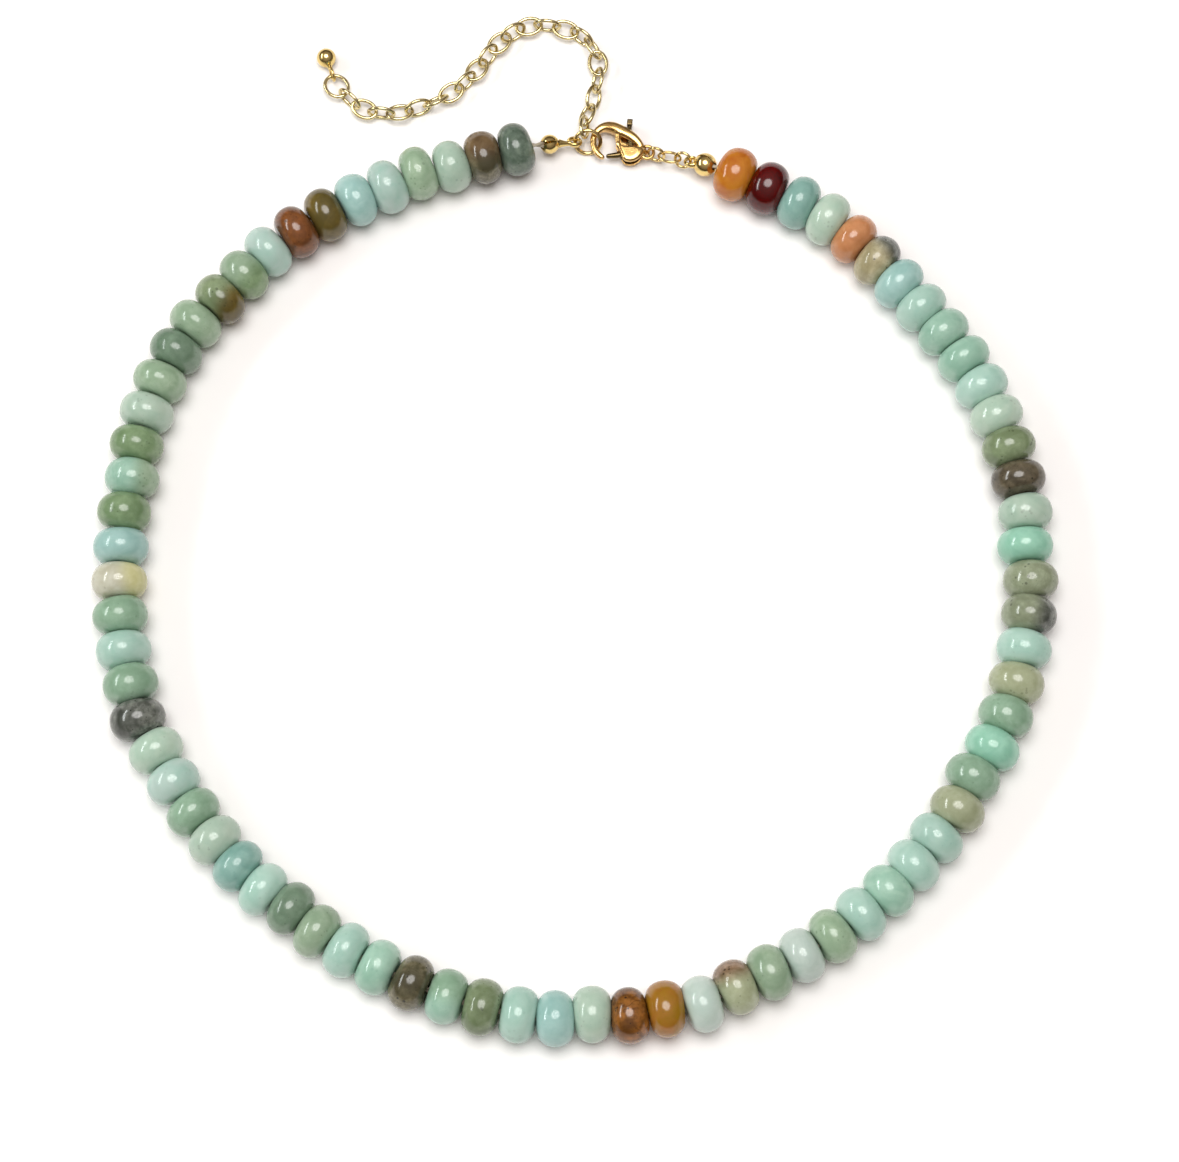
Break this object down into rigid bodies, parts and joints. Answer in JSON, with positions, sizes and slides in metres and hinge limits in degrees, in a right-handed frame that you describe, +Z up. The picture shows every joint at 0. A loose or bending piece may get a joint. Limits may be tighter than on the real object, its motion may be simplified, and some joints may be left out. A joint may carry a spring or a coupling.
{
  "type": "beaded necklace",
  "caption": "Short necklace of polished stone rondelles in mixed greens with a few brown and orange ones, lobster clasp and extender chain, lying fastened in a ring.",
  "frame": {"origin": "on the surface it lies on, below the middle of its bounding box", "axes": "+Z up, -Y towards the front of the ring, +X towards the clasp's eye end, all with the necklace lying flat and fastened"},
  "size_m": [0.136, 0.1524, 0.008],
  "materials": {
    "stone_left": "polished stone, mixed greens",
    "stone_right": "polished stone, mixed pale greens",
    "chain_gold": "polished pale gold plate",
    "ring_gold": "polished gold plate",
    "tip_gold": "polished gold plate",
    "clasp_gold": "polished gold plate",
    "lever_gold": "polished gold plate"
  },
  "bodies": {
    "necklace": {"bead_run_left": "stone_left", "bead_run_right": "stone_right", "bead_tip_left": "tip_gold", "bead_tip_right": "tip_gold", "clasp_body": "clasp_gold", "clasp_link_oval": "ring_gold", "clasp_ring_far": "ring_gold", "clasp_ring_near": "ring_gold", "extender_ball": "tip_gold", "extender_link_01": "chain_gold", "extender_link_02": "chain_gold", "extender_link_03": "chain_gold", "extender_link_04": "chain_gold", "extender_link_05": "chain_gold", "extender_link_06": "chain_gold", "extender_link_07": "chain_gold", "extender_link_08": "chain_gold", "extender_link_09": "chain_gold", "extender_link_10": "chain_gold", "extender_link_11": "chain_gold", "extender_link_12": "chain_gold", "extender_link_13": "chain_gold", "extender_link_14": "chain_gold", "extender_link_15": "chain_gold", "extender_link_16": "chain_gold", "extender_link_17": "chain_gold", "extender_link_18": "chain_gold", "extender_link_19": "chain_gold", "extender_link_20": "chain_gold", "extender_link_21": "chain_gold", "extender_link_22": "chain_gold", "extender_link_23": "chain_gold", "jump_ring": "ring_gold"},
    "lever": {"clasp_lever": "lever_gold"}
  },
  "joints": [
    {"name": "lever_hinge", "type": "hinge", "parent": "necklace", "child": "lever", "pos_m": [0.00817, 0.05473, 0.0017], "axis": [0, 0, -1], "range_deg": [0, 20], "stiffness_Nm_per_rad": 0.008}
  ]
}
